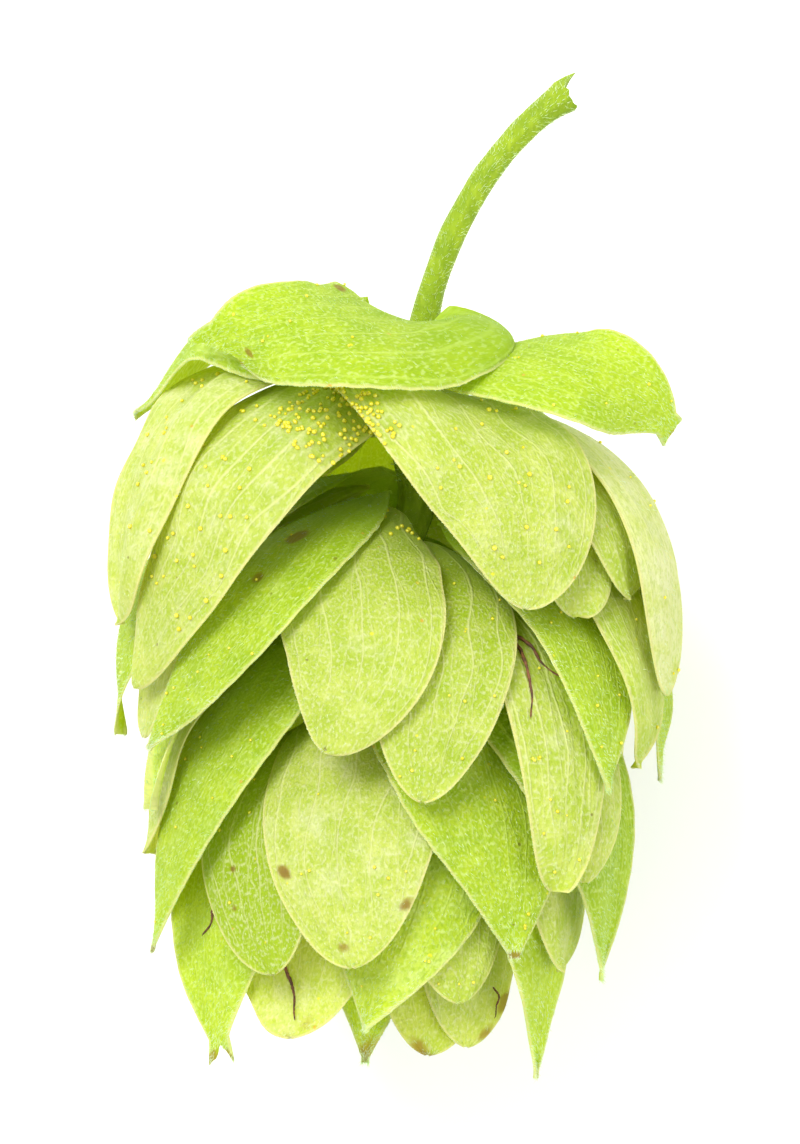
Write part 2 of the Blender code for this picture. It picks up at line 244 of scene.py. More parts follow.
stem_green, wire, shader = new_finish("stem_green", Specular_IOR_Level=0.25)
place = wire.add("ShaderNodeTexCoord", out=3)
long_way = wire.add("ShaderNodeMapping", {"vector_type": "POINT"},
                    {"Vector": place, "Scale": (1.0, 0.25, 1.0)})
mottle = place.noise(900.0, 3.0)
furrow = long_way.noise(5200.0, 2.0)
fuzz = place.noise(9000.0, 2.0, 0.7)
colour = mottle.step(0.2, 0.8).blend((0.17, 0.275, 0.003), (0.25, 0.36, 0.006))
colour = (furrow.step(0.45, 0.75) * 0.55).blend(colour, (0.34, 0.45, 0.02))
colour = (fuzz.step(0.6, 0.8) * 0.5).blend(colour, (0.66, 0.72, 0.34))
coat(shader, wire.tree, colour, 0.55 + mottle * 0.2, furrow * 0.7 + fuzz * 0.6, 0.06)

hair_white, wire, shader = new_finish("hair_white", 0.35, (0.8, 0.95, 0.55), Roughness=0.5)
place = wire.add("ShaderNodeTexCoord", out=3)
coat(shader, wire.tree, place.noise(700.0).step(0.3, 0.7).blend((0.62, 0.80, 0.30), (0.88, 0.94, 0.68)))


def wander(seed, x, y, waves=7, fine=1.0):
    """A smooth wandering surface from -1 to 1 or so: a sum of cosines in seeded directions."""
    rng = np.random.default_rng(seed)
    total = np.zeros(np.broadcast(x, y).shape)
    for pull in rng.normal(size=(waves, 2)) * fine:
        total = total + np.cos(pull[0] * x * 6 + pull[1] * y * 3 + rng.uniform(0, 7))
    return total / math.sqrt(waves)


def hairs(name, roots, ways, lengths, width, seed):
    """Hairs as three-sided spikes: each stands on a small triangle at its root and ends in a point,
    leaning its own way by a seeded amount."""
    rng = np.random.default_rng(seed)
    ways = ways + rng.normal(scale=0.28, size=ways.shape)
    ways /= np.linalg.norm(ways, axis=1, keepdims=True)
    side = np.cross(ways, rng.normal(size=ways.shape))
    side /= np.linalg.norm(side, axis=1, keepdims=True)
    rise = np.cross(ways, side)
    angle = np.array([0.0, 2.1, 4.2])
    ring = side[:, None] * np.cos(angle)[None, :, None] + rise[:, None] * np.sin(angle)[None, :, None]
    base = roots[:, None] - ways[:, None] * 0.03 + ring * width
    tips = (roots + ways * lengths[:, None])[:, None]
    points = np.concatenate((base, tips), axis=1).reshape(-1, 3)
    first = np.arange(len(roots))[:, None] * 4
    turn = np.array([[0, 2, 1], [0, 1, 3], [1, 2, 3], [2, 0, 3]])
    faces = (first[:, None] + turn[None]).reshape(-1, 3)
    return add_piece(name, points, [faces], hair_white)


STEM_SIDES = 40
STALK_STEPS = 90
HAIRY_STEPS = 112
STEM_HAIRS = 2300
stem_path, stem_radius = stem_line(STALK_STEPS, STRIG_NODE_SPACING / 12)
ring, onward, angle = rings_along(stem_path, STEM_SIDES)
run = np.arange(len(stem_path))[:, None] / STALK_STEPS
furrows = 0.045 * np.cos(7 * angle + 1.5 * np.sin(2 * run)) + 0.03 * wander(4, run * 3, angle / 6, 9)
stem_grid = stem_path[:, None] + ring * (stem_radius[:, None] * (1 + furrows))[..., None]
# The torn end: the skin stands up in one pointed flap and a ragged rim round sunken pith.
flap = 0.75 * np.exp(-((angle - 0.55) / 0.32) ** 2) + 0.10 * wander(9, angle * 0.0, angle * 2.4, 6)
pull = np.clip(1 - run * 18, 0, 1)[..., None] ** 2
stem_grid = stem_grid - onward[:, None] * flap[None, :, None] * pull
rim = stem_grid[0]
pith = [stem_path[0] + (rim - stem_path[0]) * size + onward[0] * deep
        for size, deep in ((0.78, 0.16), (0.45, 0.22), (0.12, 0.14))]
foot_ring = stem_path[-1] + (stem_grid[-1] - stem_path[-1]) * 0.4 + onward[-1] * 0.25
stem_rings = np.stack((*pith[::-1], *stem_grid, foot_ring))
here = np.arange(stem_rings.shape[0] * STEM_SIDES).reshape(-1, STEM_SIDES)
beside = np.roll(here, -1, axis=1)
walls = np.stack((here[:-1], here[1:], beside[1:], beside[:-1]), axis=-1).reshape(-1, 4)
ends = np.stack((here[0], here[-1, ::-1]))
add_piece("stem_skin", stem_rings.reshape(-1, 3), [walls, ends], stem_green, ["stem"])

rng = np.random.default_rng(21)
pick = rng.integers(0, HAIRY_STEPS, STEM_HAIRS), rng.integers(0, STEM_SIDES, STEM_HAIRS)
hairs("stem_hairs", stem_grid[pick], ring[pick] * 0.8 - onward[pick[0]] * 0.5,
      rng.uniform(0.10, 0.30, STEM_HAIRS), 0.012, 22)


# ---------------------------------------------------------------------------------------------
# The last whorls, at the cone's lower end.  Bracts are pointed, green and finely hairy; bracteoles
# are rounded, paler and veined.  Both are leaves a tenth of a millimetre thick that grow from the
# strig, and each lies over the ones that start nearer the cone's end, so the innermost come first.

LEAF_FOOT_RADIUS = 1.75
LEAF_FOOT_HALF_WIDTH = 0.45
LEAF_TIP_HALF_WIDTH = 0.12
LEAF_SHOULDER = 2.6
LEAF_RUN = 1.4
LEAF_GAP = 0.4
BLADE_THICKNESS = 0.11
BLADE_CURL_SHARE = 0.85
BLADE_CURL_SMALLEST = 3.0
ROW_CROWDING = 1.5
FINE_ROWS = 29
FINE_COLUMNS = 17
LAY_REACH = 0.3
LAY_DEPTH = 1.2
LAY_ROUNDS = 5
LAY_SMALLEST = 0.0001
LAY_SHARE = 0.05
LAY_SOFTENINGS = 2
LAY_ROWS = 1 - (1 - np.linspace(0, 1, 8)) ** 1.3
LAY_COLUMNS = np.linspace(-1, 1, 5)


def half_width(kind, share):
    """Half width of a leaf as a share of its widest, from foot to tip: a sine arch that is widest
    before the middle, drawn out to a point on a bract and blunt on a bracteole."""
    if kind == "bract":
        return np.sin(np.pi * share**0.8) ** 0.8 * (1 - 0.35 * share**6)
    return np.abs(np.sin(np.pi * share**1.02)) ** 0.52


def leaf_at(leaf, s, c, tip_half=LEAF_TIP_HALF_WIDTH):
    """Point, outward arrow and half width of a leaf's middle surface at shares s of its length and
    c of its half width.  Along the midrib, with t from 0 to 1, the distance from the strig grows
    like 1 - (1 - t)^shoulder and the distance along like t^run; the blade curls round the strig."""
    habit = leaf.get("habit", {})
    (foot, tip), around = leaf["along"], leaf["around"]
    t = np.linspace(0.0, 1.0, 81)
    share = (2 * (t - 0.5) * (t - 1), 4 * t * (1 - t), 2 * t * (t - 0.5))
    turn = np.radians(around[0] * share[0] + around[1] * share[1] + around[2] * share[2])
    reach = 1 - (1 - t) ** habit.get("shoulder", LEAF_SHOULDER)
    radius = LEAF_FOOT_RADIUS + (leaf["out"] - LEAF_FOOT_RADIUS) * reach
    along = foot + (tip - foot) * t**LEAF_RUN - habit.get("raised", 0.0) * share[1]
    rib = np.stack((radius * np.sin(turn), -along, radius * np.cos(turn)), axis=1)
    length = np.concatenate(([0.0], np.cumsum(np.linalg.norm(np.diff(rib, axis=0), axis=1))))
    at = np.interp(s * length[-1], length, t)

    def on_rib(values):
        return np.stack([np.interp(at, t, values[:, k]) for k in range(3)], axis=-1)

    forward = on_rib(np.gradient(rib, axis=0))
    forward /= np.linalg.norm(forward, axis=-1, keepdims=True)
    angle = np.interp(at, t, turn)
    round_way = np.stack((np.cos(angle), np.zeros_like(angle), -np.sin(angle)), axis=-1)
    outward = np.cross(forward, round_way)
    outward /= np.linalg.norm(outward, axis=-1, keepdims=True)
    level = np.cross(outward, forward)
    lean = math.radians(habit.get("turned", 0.0)) * np.clip(s * 3, 0, 1)[..., None]
    side = level * np.cos(lean) - outward * np.sin(lean)
    outward = outward * np.cos(lean) + level * np.sin(lean)
    width = leaf["half"] * half_width(leaf["kind"], np.clip(s, 0, 1))
    ends = LEAF_FOOT_HALF_WIDTH * (1 - np.clip(s, 0, 1)) ** 3 + tip_half * s
    width = np.maximum(width, ends)
    bend = np.maximum(np.interp(at, t, radius) * BLADE_CURL_SHARE, BLADE_CURL_SMALLEST)
    arc = (c * width / bend)[..., None]
    across = side * np.sin(arc) + outward * (np.cos(arc) - 1)
    normal = outward * np.cos(arc) + side * np.sin(arc)
    return on_rib(rib) + across * bend[..., None], normal, width, length[-1]


def spread(count, fine):
    """Weights that carry values at evenly numbered rows over to a finer row, in straight lines."""
    place = np.linspace(0, count - 1, fine)
    return np.clip(1 - np.abs(place[:, None] - np.arange(count)[None, :]), 0, 1)


def soften(lift):
    """Each value averaged with its neighbours along and across the leaf."""
    wide = np.pad(lift, 1, mode="edge")
    return (wide[:-2, 1:-1] + wide[2:, 1:-1] + wide[1:-1, :-2] + wide[1:-1, 2:] + 2 * lift) / 6


def over_all(down, values, over):
    """Values on a coarse grid carried to a finer one by weights down and across it."""
    return np.einsum("ra,abk,cb->rck", down, values, over)


laid = []


def lay(leaf):
    """How far each point of a leaf's coarse grid is lifted so that the leaf clears all those laid
    before it: along its own normals, by what the nearest leaf below it needs, then softened."""
    s, c = np.meshgrid(LAY_ROWS, LAY_COLUMNS, indexing="ij")
    start, normals = leaf_at(leaf, s, c)[:2]
    points = start
    down, over = spread(len(LAY_ROWS), FINE_ROWS), spread(len(LAY_COLUMNS), FINE_COLUMNS)
    for _ in range(LAY_ROUNDS):
        fine = over_all(down, points, over).reshape(-1, 3)
        facing = over_all(down, normals, over).reshape(-1, 3)
        facing /= np.linalg.norm(facing, axis=1, keepdims=True)
        low, high = fine.min(axis=0) - LAY_DEPTH, fine.max(axis=0) + LAY_DEPTH
        need = np.zeros(len(fine))
        for other in laid:
            near = other[np.all((other > low) & (other < high), axis=1)]
            if len(near):
                apart = near[None] - fine[:, None]
                ahead = np.einsum("pqk,pk->pq", apart, facing)
                aside = np.einsum("pqk,pqk->pq", apart, apart) - ahead**2
                below = (aside < LAY_REACH**2) & (ahead > -LEAF_GAP) & (ahead < LAY_DEPTH)
                need = np.maximum(need, np.where(below, ahead + LEAF_GAP, 0).max(axis=1))
        if need.max() < LAY_SMALLEST:
            break
        touched = (down > LAY_SHARE)[:, None, :, None] & (over > LAY_SHARE)[None, :, None, :]
        asked = need.reshape(FINE_ROWS, FINE_COLUMNS)[:, :, None, None]
        lift = np.where(touched, asked, 0).max(axis=(0, 1))
        for _ in range(LAY_SOFTENINGS):
            lift = np.maximum(lift, soften(lift))
        points = points + lift[..., None] * normals
    laid.append(over_all(down, points, over).reshape(-1, 3))
    return points - start


def smooth_weights(knots, places, reach):
    """Weights from knots to places: straight lines between knots, then a bell-shaped average."""
    line = np.stack([np.interp(places, knots, row) for row in np.eye(len(knots))], axis=1)
    bell = np.exp(-(((places[:, None] - places[None, :]) / reach) ** 2))
    return (bell / bell.sum(axis=1, keepdims=True)) @ line


def pick_from(grid, s, c):
    """Values of an even grid over s from 0 to 1 and c from -1 to 1, at any s and c between."""
    rows, columns = grid.shape[:2]
    i = np.clip(s, 0, 1) * (rows - 1)
    j = (np.clip(c, -1, 1) + 1) / 2 * (columns - 1)
    i0 = np.clip(i.astype(int), 0, rows - 2)
    j0 = np.clip(j.astype(int), 0, columns - 2)
    a, b = (i - i0)[..., None], (j - j0)[..., None]
    upper = grid[i0, j0] * (1 - b) + grid[i0, j0 + 1] * b
    lower = grid[i0 + 1, j0] * (1 - b) + grid[i0 + 1, j0 + 1] * b
    return upper * (1 - a) + lower * a


def leaf_finish(name, deep, fresh, pale, vein, through, through_colour, veins, vein_show, down_show):
    """A leaf's skin.  Veins run at even shares of its width and fork on the way to the tip, with a
    net of finer ones between; over them lie a cloudy mottle of greens, a grain of cells and short
    down, small rusty and yellow specks, paler margins, and brown where a leaf has withered.  A mark
    on each leaf moves it as a whole from deep to fresh green and on to pale: mostly its own colour,
    but painted shade where a leaf is darkened for lying in shade, and painted sheen where one is
    paled for being seen at a grazing angle."""
    made, wire, shader = new_finish(name, through, through_colour, Sheen_Weight=0.05,
                                    Sheen_Roughness=0.4, Specular_IOR_Level=0.3)

    def mark(which):
        return wire.add("ShaderNodeAttribute", {"attribute_name": which}, out=2)

    flat = wire.add("ShaderNodeUVMap", {"uv_map": "leaf"})
    parts = wire.add("ShaderNodeSeparateXYZ", None, {0: flat})
    u, v = parts, Wire(wire.tree, parts.socket.node.outputs[1])
    across, share, half = mark("across"), mark("share"), mark("half")
    seed, tone, stain = mark("seed"), mark("tone"), mark("stain")

    def on_leaf(x, y):
        return wire.add("ShaderNodeCombineXYZ", None, {0: u * x, 1: v * y, 2: seed})

    def three_noises(where, scale, detail, rough=0.5):
        """Three different noises of one grain: the red, green and blue of a coloured one."""
        mixed = wire.add("ShaderNodeTexNoise", None,
                         {"Vector": where, "Scale": scale, "Detail": detail, "Roughness": rough}, 1)
        split = wire.add("ShaderNodeSeparateColor", None, {0: mixed})
        return [Wire(wire.tree, split.socket.node.outputs[k]) for k in range(3)]

    skin = on_leaf(1.0, 1.0)
    sway, fork_sway, quiver = three_noises(on_leaf(0.16, 0.22), 1.0, 1.0)
    side_share = across.sum("ABSOLUTE")
    room = half / (veins / 2)
    taper = 1.0 - share * 0.7
    row = across * (veins / 2) + (sway - 0.5) * 1.3 + (quiver - 0.5) * 0.5
    main_gap = ((row + 0.5).sum("FRACT") - 0.5).sum("ABSOLUTE") * room
    main = (taper * 0.085 - main_gap).step(-0.02, 0.045)
    drift = share.step(0.15, 0.95) * 0.55
    fork_row = side_share * (veins / 2) + (fork_sway - 0.5) * 1.3 - drift
    fork_gap = ((fork_row + 0.5).sum("FRACT") - 0.5).sum("ABSOLUTE") * room
    fork = (taper * 0.06 - fork_gap).step(-0.02, 0.04) * share.step(0.15, 0.4)
    cells = wire.add("ShaderNodeTexVoronoi", {"feature": "DISTANCE_TO_EDGE"},
                     {"Vector": on_leaf(1.0, 0.6), "Scale": 1.05, "Randomness": 1.0})
    net = cells.step(0.06, 0.0) * share.step(0.3, 0.75) * 0.4
    lines = main.sum("MAXIMUM", fork * 0.65).sum("MAXIMUM", net)
    lines = lines * share.step(1.0, 0.8) * vein_show

    cloud, patch, fray = three_noises(skin, 0.8, 3.0, 0.6)
    grain, nap = three_noises(on_leaf(9.0, 6.0), 1.0, 1.0)[:2]
    # The tone mark moves a whole leaf between deep, fresh and pale green.  Mostly this is the leaf's own
    # colour, but the darkening of lower_bracteole_left is painted shade and the paleness of
    # edge_bracteole_right is partly painted sheen.
    fresh_share = cloud.step(0.3, 0.7) * 0.6 + tone * 0.7 + share * 0.3
    colour = fresh_share.sum("MINIMUM", 1.0).sum("MAXIMUM", 0.0).blend(deep, fresh)
    colour = ((tone * 0.7 + (patch - 0.5) * 2.0).step(0.1, 1.0) * 0.8).blend(colour, pale)
    colour = (grain.step(0.48, 0.66) * down_show).blend(colour, pale)
    colour = (nap.step(0.52, 0.34) * down_show * 0.9).blend(colour, deep)
    colour = lines.blend(colour, vein)
    colour = (share.step(0.45, 0.12) * 0.55).blend(colour, deep)
    rim = ((1.0 - side_share) * half).step(0.16, 0.03) * share.step(0.12, 0.3)
    colour = (rim * 0.75).blend(colour, (0.80, 0.72, 0.38))

    dots = wire.add("ShaderNodeTexVoronoi", {"feature": "F1"},
                    {"Vector": skin, "Scale": 2.1, "Randomness": 1.0})
    chances = wire.add("ShaderNodeSeparateColor", None,
                       {0: Wire(wire.tree, dots.socket.node.outputs["Color"])})
    rare, large = chances, Wire(wire.tree, chances.socket.node.outputs[1])
    spot = (0.10 + large * 0.10 - dots).step(0.0, 0.05)
    for low, high, tint in ((0.86, 0.90, (0.70, 0.34, 0.05)), (0.90, 0.965, (0.90, 0.80, 0.04)),
                            (0.965, 1.0, (0.16, 0.10, 0.03))):
        chosen = rare.step(low, low + 0.004) * rare.step(high + 0.004, high)
        colour = (spot * chosen * 0.8).blend(colour, tint)
    rust = (stain * 1.5 + (fray - 0.5) * 1.6).step(0.5, 1.0)
    colour = (rust * 0.92).blend(colour, (0.25, 0.10, 0.025))
    coat(shader, wire.tree, colour, 0.52 + grain * 0.2, lines * 0.5 + grain * 0.8, 0.09)
    return made


bract_green = leaf_finish("bract_green", (0.26, 0.42, 0.008), (0.50, 0.62, 0.030), (0.72, 0.82, 0.34),
                          (0.62, 0.76, 0.16), 0.45, (0.86, 0.96, 0.05), 7, 0.5, 0.55)
bracteole_pale = leaf_finish("bracteole_pale", (0.34, 0.50, 0.015), (0.60, 0.68, 0.15),
                             (0.84, 0.84, 0.60), (0.86, 0.88, 0.44), 0.45, (0.88, 0.90, 0.14), 5, 0.65,
                             0.45)
blades = {}


BLADE_GRID = (81, 45)
UNDER_GRID = (49, 31)


def blade(name, leaf, rows, columns):
    """One leaf as a thin closed plate.  A grid over its length and width is placed by leaf_at, moved
    by what the laying asks for, and then given its own small shape: margins that wave or roll,
    a swell between the veins, an outline that wanders or is wider on one side, a tip that is cut,
    torn or turned up."""
    habit = leaf.get("habit", {})
    seed = zlib.crc32(name.encode()) % 100000
    u = np.linspace(0, 1, rows)
    s0, c0 = np.meshgrid(1 - (1 - u) ** ROW_CROWDING, np.linspace(-1, 1, columns), indexing="ij")
    left, middle, right = habit.get("cut", (1.0, 1.0, 1.0))
    end = np.where(c0 < 0, middle + (left - middle) * -c0, middle + (right - middle) * c0)
    end = end + habit.get("jag", 0.0) * wander(seed + 5, c0 * 0.9, c0 * 0, 6, 1.6)
    s = s0 * end
    c = c0 * (1 + 0.03 * wander(seed + 1, s0, np.sign(c0) * 2.0, 6, 1.5))
    wide = habit.get("wide", (1.0, 1.0))
    c = c * np.where(c0 < 0, wide[0], wide[1])
    if leaf["kind"] == "bract":
        c = c * (1 + 0.006 * np.sin(s0 * 95 + seed))
    moved = over_all(smooth_weights(LAY_ROWS, np.linspace(0, 1, 41), 0.05), lay(leaf),
                     smooth_weights(LAY_COLUMNS, np.linspace(-1, 1, 33), 0.13))
    points, facing, width, length = leaf_at(leaf, s, c, habit.get("tip_half", LEAF_TIP_HALF_WIDTH))
    points = points + pick_from(moved, s, c)
    roll = habit.get("roll", (0.0, 0.0))
    open_part = np.clip(s0 * 3 - 0.5, 0, 1)
    margin = np.abs(c0) ** 3 * open_part
    wave = habit.get("ruffle", 0.09)
    lift = wave * margin * wander(seed + 2, s0 * 2.2, np.sign(c0), 6, 1.1)
    lift = lift + 0.05 * wander(seed + 3, s0 * 1.6, c0 * 1.2, 8) * open_part
    lift = lift + np.where(c0 < 0, roll[0], roll[1]) * np.abs(c0) ** 4 * open_part
    lift = lift + habit.get("tip_roll", 0.0) * np.clip((s0 - 0.86) / 0.14, 0, 1) ** 1.5
    swell = 0.014 if leaf["kind"] == "bracteole" else 0.008
    lift = lift - swell * np.cos(np.pi * 7 * c0 + 1.5 * s0) * open_part * (1 - np.abs(c0) ** 4)
    points = points + facing * lift[..., None]
    normals = np.cross(np.gradient(points, axis=0), np.gradient(points, axis=1))
    normals /= np.maximum(np.linalg.norm(normals, axis=2, keepdims=True), 1e-9)
    thick = BLADE_THICKNESS * (1 - 0.45 * np.abs(c0) ** 6) * (1 + 0.5 * (1 - s0) ** 6)
    low_mid = (0.5 * BLADE_THICKNESS - cone_shift[2])
    points[..., 2] = np.maximum(points[..., 2], low_mid)
    outer = (points + normals * thick[..., None] / 2).reshape(-1, 3)
    inner = (points - normals * thick[..., None] / 2).reshape(-1, 3)
    corner = np.arange(rows * columns).reshape(rows, columns)
    top = np.stack((corner[:-1, :-1], corner[1:, :-1], corner[1:, 1:], corner[:-1, 1:]), -1).reshape(-1, 4)
    rim = np.concatenate((corner[0, :-1], corner[:-1, -1], corner[-1, :0:-1], corner[:0:-1, 0]))
    ahead = np.roll(rim, -1)
    wall = np.stack((rim, ahead, ahead + rows * columns, rim + rows * columns), axis=-1)
    stain = np.zeros_like(s)
    for place_s, place_c, size, strength in habit.get("stains", ()):
        gap = ((s0 - place_s) * length) ** 2 + ((c0 - place_c) * width) ** 2
        stain = np.maximum(stain, strength * np.exp(-gap / size**2))
    uv = np.stack((c0 * width, s * length), axis=-1).reshape(-1, 2)
    marks = {key: np.tile(values.ravel(), 2) for key, values in
             (("across", c0), ("share", s), ("half", width), ("stain", stain))}
    marks["seed"] = float(seed % 977)
    # The tone mark: each leaf's own shift of colour with a small seeded scatter.  On lower_bracteole_left
    # it is painted shade, and on edge_bracteole_right it is partly painted sheen.
    marks["tone"] = habit.get("tone", 0.0) + (seed % 100 - 50) / 500
    finish = bract_green if leaf["kind"] == "bract" else bracteole_pale
    add_piece(f"{name}_blade", np.concatenate((outer, inner)), [top, top[:, ::-1] + rows * columns, wall],
              finish, [name], np.tile(uv, (2, 1)), marks)
    blades[name] = points, normals, thick


DOWN_SEED = 7


def downy(name, kind, edge_count, face_count):
    """Hairs on one leaf: along both margins, pointing out and onwards, and lying on its back."""
    points, normals, thick = blades[name]
    rows, columns = points.shape[:2]
    rng = np.random.default_rng(zlib.crc32(name.encode()) + DOWN_SEED)
    onward = np.gradient(points, axis=0)
    onward /= np.maximum(np.linalg.norm(onward, axis=2, keepdims=True), 1e-9)
    side = np.cross(normals, onward)
    i = rng.integers(rows // 6, rows, edge_count)
    j = np.where(rng.random(edge_count) < 0.5, 0, columns - 1)
    out = np.where(j == 0, 1.0, -1.0)[:, None]
    step = rng.random(edge_count)[:, None]
    back = points[np.maximum(i - 1, 0), j]
    roots = [points[i, j] * (1 - step) + back * step]
    ways = [side[i, j] * out * 0.9 + onward[i, j] * 0.7 + normals[i, j] * 0.25]
    long = [rng.uniform(0.12, 0.34, edge_count) * (1.0 if kind == "bract" else 0.45)]
    i, j = rng.integers(3, rows - 1, face_count), rng.integers(0, columns, face_count)
    roots.append(points[i, j] + normals[i, j] * thick[i, j][:, None] / 2)
    ways.append(onward[i, j] * 0.8 + normals[i, j] * 0.55)
    long.append(rng.uniform(0.08, 0.22, face_count))
    return np.concatenate(roots), np.concatenate(ways), np.concatenate(long)


UNDER_FIRST = 1.1
UNDER_SPACING = 3.3
UNDER_LENGTH = 10.8
UNDER_SHORTENING = 0.5
UNDER_STEP = 55.0
UNDER_HALF_WIDTH = 3.9
UNDER_TIP_OUT = 10.3
UNDER_TIP_TAPER = 0.018
UNDER_TAPER_FROM = 12.0
UNDER_STAGGER = 0.5
UNDER_LATER_TO_ONE_SIDE = 0.12


def under_row(row):
    """A row of leaves on the side that the cone lies on: three or four from one side to the other,
    half a step round from the row before."""
    foot = UNDER_FIRST + (row - 1) * UNDER_SPACING
    tip = foot + UNDER_LENGTH - UNDER_SHORTENING * (row - 1)
    out = UNDER_TIP_OUT - UNDER_TIP_TAPER * max(tip - UNDER_TAPER_FROM, 0.0) ** 2
    count = 3 if row % 2 else 4
    leaves = {}
    for place in range(count):
        aside = place - (count - 1) / 2
        kind = "bract" if (row - 1 + place) % 2 else "bracteole"
        around = 180.0 + UNDER_STEP * aside
        start = foot + UNDER_STAGGER * abs(aside) + UNDER_LATER_TO_ONE_SIDE * aside
        leaves[f"under_{kind}_{row}_{place + 1}"] = {
            "kind": kind, "along": (start, tip), "around": (around, around, around), "out": out,
            "half": UNDER_HALF_WIDTH, "habit": {"tone": -0.1, "ruffle": 0.05}}
    return leaves


def grow(group, leaves):
    """Lays a group's leaves from the innermost outwards and gives them their hairs, as one piece."""
    order = sorted(leaves, key=lambda n: -leaves[n]["along"][0])
    for name in order:
        fine = UNDER_GRID if name.startswith("under") else BLADE_GRID
        blade(name, leaves[name], *fine)
    down = []
    for name in order:
        kind = leaves[name]["kind"]
        counts = (520, 700) if kind == "bract" else (240, 160)
        if name.startswith("under"):
            counts = (120, 120)
        down.append(downy(name, kind, *counts))
    roots, ways, long = (np.concatenate([d[k] for d in down]) for k in range(3))
    hairs(f"{group}_hairs", roots, ways, long, 0.013, len(down))


def leaf(kind, along, around, out, half, **habit):
    """A leaf: how far along the strig its foot and tip are, how far round the foot, the middle and
    the tip are (0 on top, 90 at the right, in degrees), how far out the tip is, its half width."""
    return {"kind": kind, "along": along, "around": around, "out": out, "half": half, "habit": habit}


last_whorls = {
    "tip_bract": leaf("bract", (20.4, 28.0), (-5, -5, -5), 5.5, 1.8, stains=[(1.0, 0, 1.4, 0.8)]),
    "last_bracteole_right": leaf("bracteole", (19.1, 27.5), (20, 20, 17), 6.6, 2.8,
                                 stains=[(1.0, -0.6, 0.9, 0.6)]),
    "curled_bracteole_left": leaf("bracteole", (18.3, 27.1), (-28, -28, -25), 7.5, 3.5, tone=0.25,
                                  stains=[(0.98, 0.3, 0.8, 0.5)], tip_roll=0.7),
    "brown_bracteole_right": leaf("bracteole", (17.6, 27.1), (28, 30, 29), 7.1, 2.6, tone=0.1,
                                  stains=[(0.85, 1.0, 0.5, 0.9), (0.95, 0.8, 0.5, 0.7)]),
    "forked_bract_left": leaf("bract", (15.9, 28.4), (-68, -62, -50), 7.9, 3.2, turned=28,
                              tip_half=0.6, cut=(1.0, 0.955, 1.0), jag=0.006, tone=0.15,
                              stains=[(1.0, -1.0, 0.5, 1.0), (1.0, 1.0, 0.4, 1.0)]),
    "tucked_bracteole_right": leaf("bracteole", (15.6, 25.3), (14, 17, 21), 8.6, 2.8, tone=0.1),
    "last_bract": leaf("bract", (15.2, 26.6), (7, 4, -4), 7.7, 3.5, tone=0.5),
    "long_bract_right": leaf("bract", (14.7, 28.2), (38, 44, 48), 8.4, 2.1, tone=0.2, turned=-22),
    # The strongly lowered tone on this leaf is painted shade: it is darkened because it lies in shade.
    "lower_bracteole_left": leaf("bracteole", (14.1, 24.6), (-45, -39, -27), 9.3, 3.2, tone=-1.1,
                                 stains=[(0.7, -0.4, 0.2, 0.8), (0.8, -0.5, 0.2, 0.6)]),
}
grow("last_whorls", {**last_whorls, **under_row(5), **under_row(6)})


# ---------------------------------------------------------------------------------------------
# The middle whorls.  They are the fullest: the broad rounded bracteoles bulge over the fruits,
# and pointed bracts stand between them and a little away from the cone's sides.

middle_whorls = {
    "narrow_bracteole_right": leaf("bracteole", (13.6, 23.9), (50, 48, 46), 9.0, 2.6, tone=0.3),
    "great_bracteole": leaf("bracteole", (13.0, 24.1), (-15, -12, -7), 9.9, 3.7, tone=0.2,
                            stains=[(0.75, -0.8, 0.4, 0.7), (0.85, 0.9, 0.4, 0.8), (0.95, -0.2, 0.4, 0.7)]),
    "far_bracteole_left": leaf("bracteole", (12.4, 22.9), (-82, -78, -76), 9.2, 2.8),
    "middle_bract_right": leaf("bract", (11.9, 23.4), (18, 24, 30), 9.7, 3.9, tone=0.05,
                               stains=[(1.0, 0, 0.3, 0.9)]),
    "dark_bract_right": leaf("bract", (11.3, 24.2), (50, 54, 58), 10.0, 2.8, tone=-0.5, turned=-30),
    "second_bracteole_right": leaf("bracteole", (10.8, 20.3), (44, 43, 42), 10.2, 2.4, tone=0.2),
    "middle_bracteole_right": leaf("bracteole", (10.3, 20.7), (36, 36, 35), 10.3, 1.9, tone=0.1),
    "middle_bract_left": leaf("bract", (9.8, 24.2), (-45, -51, -63), 10.2, 2.9,
                              stains=[(1.0, 0, 0.4, 1.0)], tone=0.2),
    "pale_bracteole_left": leaf("bracteole", (9.2, 20.4), (-80, -75, -70), 9.7, 2.8, tone=0.4),
    "rolled_bract_left": leaf("bract", (8.6, 18.6), (-60, -60, -61), 10.2, 1.7, tone=0.7,
                              roll=(0.35, 0.35)),
}
grow("middle_whorls", {**middle_whorls, **under_row(4)})


# ---------------------------------------------------------------------------------------------
# The upper whorls.  Broad bracts at each side and a pair of bracteoles in the middle hang from
# under the shoulder; two pointed bracts stand out at the sides.

